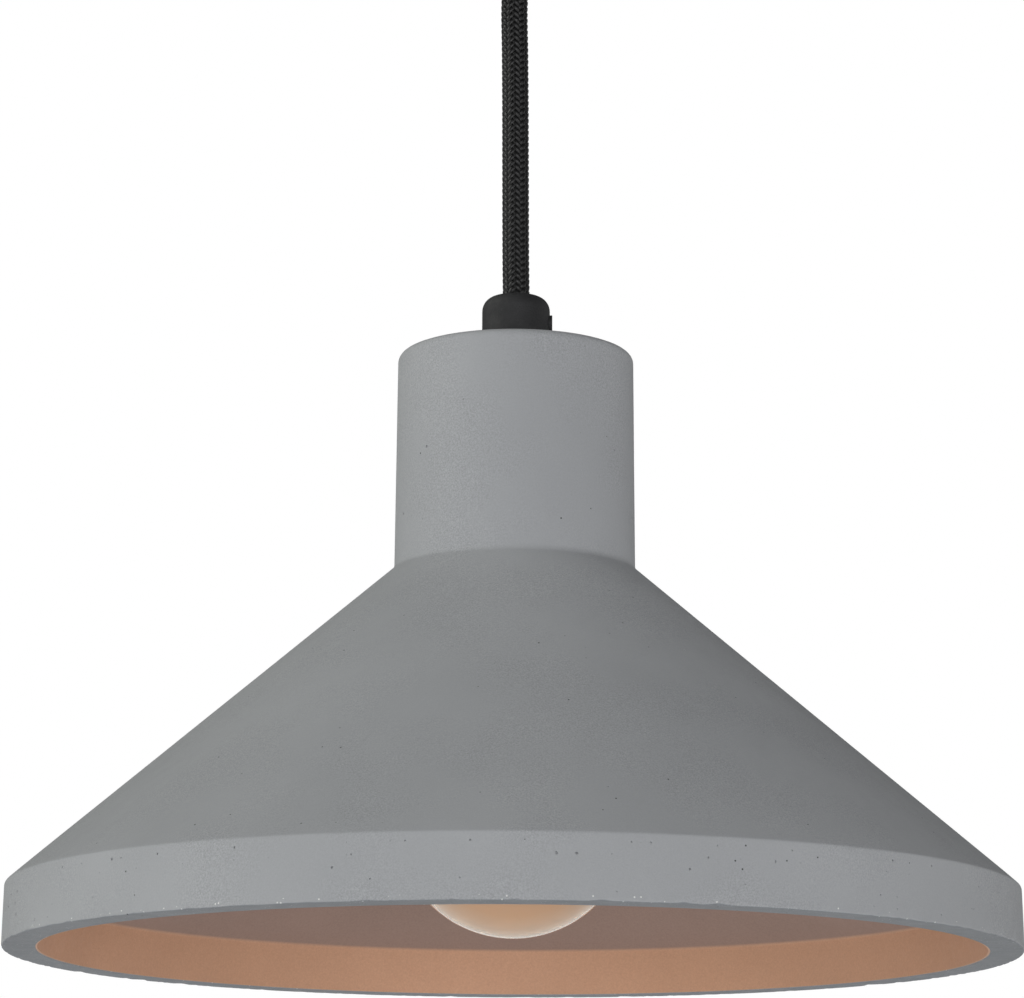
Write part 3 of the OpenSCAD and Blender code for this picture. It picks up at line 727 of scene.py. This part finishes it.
def cast_shade():
    """The concrete wall, turned in one, with its air holes."""
    corners = [
        (RIM_R, RIM_Z, 0.5 * MM), (BAND_TOP_R, RIM_Z + BAND_H, 0.9 * MM),
        (NECK_FOOT_R, NECK_FOOT_Z, 2.5 * MM), (NECK_TOP_R, NECK_TOP_Z, 2 * MM),
        (CORD_HOLE_R, NECK_TOP_Z, 0), (CORD_HOLE_R, NECK_CEILING_Z, 0),
        (NECK_BORE_R, NECK_CEILING_Z, 3 * MM), (NECK_BORE_R, INNER_FOOT_Z, INNER_FOOT_ROUND),
        (INNER_BAND_R, INNER_BAND_Z, INNER_BAND_ROUND), (INNER_RIM_R, RIM_Z, 0.2 * MM),
    ]
    bm = lathe(spread(outline(corners), 3.2 * MM), shade_segments, cast_shape)
    rng = random.Random(SEED)
    bm.normal_update()
    used = set()
    groups = pore_groups(bm)
    for name, count in PORES.items():
        for face, size in rng.sample(groups[name], count):
            if face in used:
                continue
            used.add(face)
            radius = min(rng.uniform(0.12, 0.24) * MM * rng.choice((1, 1, 1.4, 1.9)), 0.42 * size)
            add_pore(bm, face, radius, radius * rng.uniform(0.8, 1.5), rng)
    piece = finish_piece(smooth_mesh("cast_shade", bm, 42), "head", "concrete")
    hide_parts("shade")


def painted_inside():
    """The coat: a thin lathe on the shade's inner wall, from just above the rim's inner edge."""
    shift = COAT * math.sqrt(1 + CONE_SLOPE ** 2)
    foot_r = INNER_RIM_R - (INNER_RIM_R - INNER_BAND_R) / 50
    low_z = RIM_Z + (INNER_BAND_Z - RIM_Z) / 50
    top_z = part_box("shade_lining")[1].z
    coat_band_z = INNER_BAND_Z - shift + COAT * CONE_SLOPE
    coat_foot_z = INNER_FOOT_Z - shift + COAT * CONE_SLOPE
    corners = [
        (foot_r, low_z, 0), (INNER_BAND_R, INNER_BAND_Z, INNER_BAND_ROUND),
        (NECK_BORE_R, INNER_FOOT_Z, INNER_FOOT_ROUND), (NECK_BORE_R, top_z, 0),
        (NECK_BORE_R - COAT, top_z, 0), (NECK_BORE_R - COAT, coat_foot_z, INNER_FOOT_ROUND + COAT),
        (INNER_BAND_R - COAT, coat_band_z, INNER_BAND_ROUND - COAT), (foot_r - COAT, low_z, 0),
    ]
    bm = lathe(spread(outline(corners), 4 * MM), 360)
    piece = finish_piece(smooth_mesh("painted_inside", bm, 42), "head", "copper_coat")
    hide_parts("shade_lining")


cast_shade()
painted_inside()


# ---------------------------------------------------------------------------
# The bulb's glass, stem and light sticks
# ---------------------------------------------------------------------------
def bulb_side(inset):
    """The globe from its lowest point, then the flare to the neck, moved inwards by inset."""
    rise = SHOULDER_Z - GLOBE_Z
    flare_r = (rise ** 2 / (GLOBE_R - BULB_NECK_R) - GLOBE_R - BULB_NECK_R) / 2
    flare = Vector((BULB_NECK_R + flare_r, SHOULDER_Z))
    meet = math.atan2(rise, flare.x)
    side = arc(Vector((0, GLOBE_Z)), GLOBE_R - inset, -math.pi / 2, meet, 48)
    side += arc(flare, flare_r + inset, math.pi + meet, math.pi, 20)[1:]
    side[0].x = 0
    return side


def blown_glass():
    """The envelope: one wall of glass, down to the sleeve that the metal cap holds."""
    sleeve_r = 11.6 * MM
    sleeve_top = RIM_Z + 90 * MM
    outside = bulb_side(0) + outline([
        (BULB_NECK_R, SHOULDER_Z, 0), (BULB_NECK_R, SHOULDER_Z + 2.4 * MM, 1 * MM),
        (sleeve_r, SHOULDER_Z + 4.4 * MM, 1 * MM), (sleeve_r, sleeve_top, 0)], closed=False)[1:]
    inner_neck_r = BULB_NECK_R - GLASS_T
    inside = bulb_side(GLASS_T) + outline([
        (inner_neck_r, SHOULDER_Z, 0), (inner_neck_r, SHOULDER_Z + 2 * MM, 0.6 * MM),
        (sleeve_r - GLASS_T, SHOULDER_Z + 4 * MM, 0.6 * MM), (sleeve_r - GLASS_T, sleeve_top, 0)],
        closed=False)[1:]
    bm = lathe(outside + inside[::-1], 160)
    piece = finish_piece(smooth_mesh("blown_glass", bm, 60), "bulb", "bulb_glass")
    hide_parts("bulb_glass")


def glass_stem():
    """The pressed glass stem, flared where it closes the neck and drawn to a point below."""
    z = RIM_Z
    corners = [
        (0, z + 89 * MM, 0), (10.6 * MM, z + 89 * MM, 0.3 * MM), (10.6 * MM, z + 87.6 * MM, 0.3 * MM),
        (4.4 * MM, z + 84 * MM, 3 * MM), (3.6 * MM, z + 64 * MM, 2 * MM), (1.6 * MM, z + 60 * MM, 1 * MM),
        (1.6 * MM, z + 50 * MM, 1.4 * MM), (0, z + 50 * MM, 0),
    ]
    bm = lathe(outline(corners, 10, closed=False), 64)
    piece = finish_piece(smooth_mesh("glass_stem", bm, 60), "bulb", "bulb_glass", "stem_glass")
    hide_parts("bulb_stem")


def light_sticks():
    """Four coated sticks with bare metal ends, leaning out towards the bottom."""
    coats, ends = bmesh.new(), bmesh.new()
    # Places as shares of a stick's length, with the coat's radius in millimetres
    taper = [(0.07, 0.3), (0.075, 0.62), (0.09, 0.82), (0.12, 0.9)]
    ridges = [(0.12 + 0.76 * k / 24, 0.9 - 0.03 * (k % 2)) for k in range(1, 24)]
    coat = taper + ridges + [(1 - share, r) for share, r in reversed(taper)]
    for i in range(4):
        turn = Matrix.Rotation(math.pi / 4 + math.pi / 2 * i, 3, "Z")
        top, foot = turn @ STICK_TOP, turn @ STICK_FOOT
        run = foot - top
        tube(coats, [top + run * share for share, r in coat], [r * MM for share, r in coat], 20)
        for a, b in ((0.0, 0.1), (0.9, 1.0)):
            tube(ends, [top + run * (a + (b - a) * k / 4) for k in range(5)], 0.42 * MM, 12)
    piece = finish_piece(smooth_mesh("light_sticks", coats), "bulb", "filament")
    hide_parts("bulb_filaments")
    finish_piece(smooth_mesh("stick_ends", ends), "bulb", "filament_wire")


blown_glass()
glass_stem()
light_sticks()


# ---------------------------------------------------------------------------
# The mains wires in the canopy
# ---------------------------------------------------------------------------
def mains_wire(name, side, node, slot):
    """An insulated core from the cord to its terminal. side is 1, or -1 for its mirror image."""
    line = along([(side * x, y, z) for x, y, z in WIRE_ROUTE], 0.5 * MM)
    bm = bmesh.new()
    tube(bm, line, WIRE_R, 20)
    piece = finish_piece(smooth_mesh(name, bm, 60), "canopy", slot)
    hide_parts(node)


mains_wire("live_wire", 1, "supply_core_live", "brown_insulation")
mains_wire("neutral_wire", -1, "supply_core_neutral", "blue_insulation")


# ---------------------------------------------------------------------------
# Studio: white surroundings, a pale floor and soft lights
# ---------------------------------------------------------------------------
FLOOR_R = 9.0
FLOOR_BELOW_RIM = 0.6
# How far the floor glows by itself, beneath the lamp, near it and far off
FLOOR_GLOW = ((0.08, 0.2), (0.24, 0.5), (0.5, 0.8))


def soft_light(name, azimuth, elevation, distance, size, power, colour=(1, 1, 1)):
    """A square area light aimed at the lamp. Azimuth runs from the camera's side, right positive."""
    data = bpy.data.lights.new(name, "AREA")
    data.size = size
    data.energy = power
    data.color = colour
    made = bpy.data.objects.new(name, data)
    bpy.context.scene.collection.objects.link(made)
    a, e = math.radians(azimuth), math.radians(elevation)
    away = Vector((math.sin(a) * math.cos(e), -math.cos(a) * math.cos(e), math.sin(e)))
    middle = Vector((0, 0, RIM_Z + 60 * MM))
    made.location = middle + away * distance
    made.rotation_euler = (-away).to_track_quat("-Z", "Y").to_euler()


def surroundings():
    """White to the camera, but dim as a light, so that the area lights shape the lamp."""
    world = bpy.data.worlds.new("studio")
    bpy.context.scene.world = world
    world.use_nodes = True
    nodes, links = world.node_tree.nodes, world.node_tree.links
    lit = nodes["Background"]
    lit.inputs["Color"].default_value = (1, 1, 1, 1)
    lit.inputs["Strength"].default_value = 0.15
    seen = nodes.new("ShaderNodeBackground")
    seen.inputs["Color"].default_value = (1, 1, 1, 1)
    path = nodes.new("ShaderNodeLightPath")
    blend = nodes.new("ShaderNodeMixShader")
    links.new(path.outputs["Is Camera Ray"], blend.inputs["Fac"])
    links.new(lit.outputs["Background"], blend.inputs[1])
    links.new(seen.outputs["Background"], blend.inputs[2])
    links.new(blend.outputs["Shader"], nodes["World Output"].inputs["Surface"])


def floor():
    """A pale floor that brightens into the white surroundings with distance."""
    bm = bmesh.new()
    bmesh.ops.create_circle(bm, cap_ends=True, segments=96, radius=FLOOR_R)
    bmesh.ops.translate(bm, verts=bm.verts, vec=(0, 0, RIM_Z - FLOOR_BELOW_RIM))
    piece = smooth_mesh("floor", bm)
    s = Shader("floor", rough=0.9, specular=0.1)
    distance = s.node("ShaderNodeVectorMath", operation="LENGTH")
    s.link(s.place, distance.inputs[0])
    far = s.math("MULTIPLY", distance.outputs["Value"], 0.1)
    s.set("Base Color", s.ramp(far, (0.1, (0.86, 0.86, 0.86)), (0.5, (0.9, 0.9, 0.9))))
    s.set("Emission Color", s.ramp(far, *FLOOR_GLOW))
    s.set("Emission Strength", 1.0)
    piece.data.materials.append(s.material)


surroundings()
floor()
soft_light("left", -75, 0, 3.4, 2.2, 10, (0.94, 0.985, 1.0))
soft_light("left_high", -85, 34, 3.4, 2.2, 62, (0.99, 1.0, 0.945))
soft_light("front", 0, 2, 3.6, 2.2, 39, (0.97, 0.98, 1.0))
soft_light("front_low", 0, -6, 3.6, 1.0, 14, (0.97, 0.98, 1.0))
soft_light("front_right", 38, -1, 3.4, 2.2, 30)
soft_light("right_back", 115, 5, 3.4, 2.2, 8)
bpy.context.scene.view_settings.view_transform = "Standard"
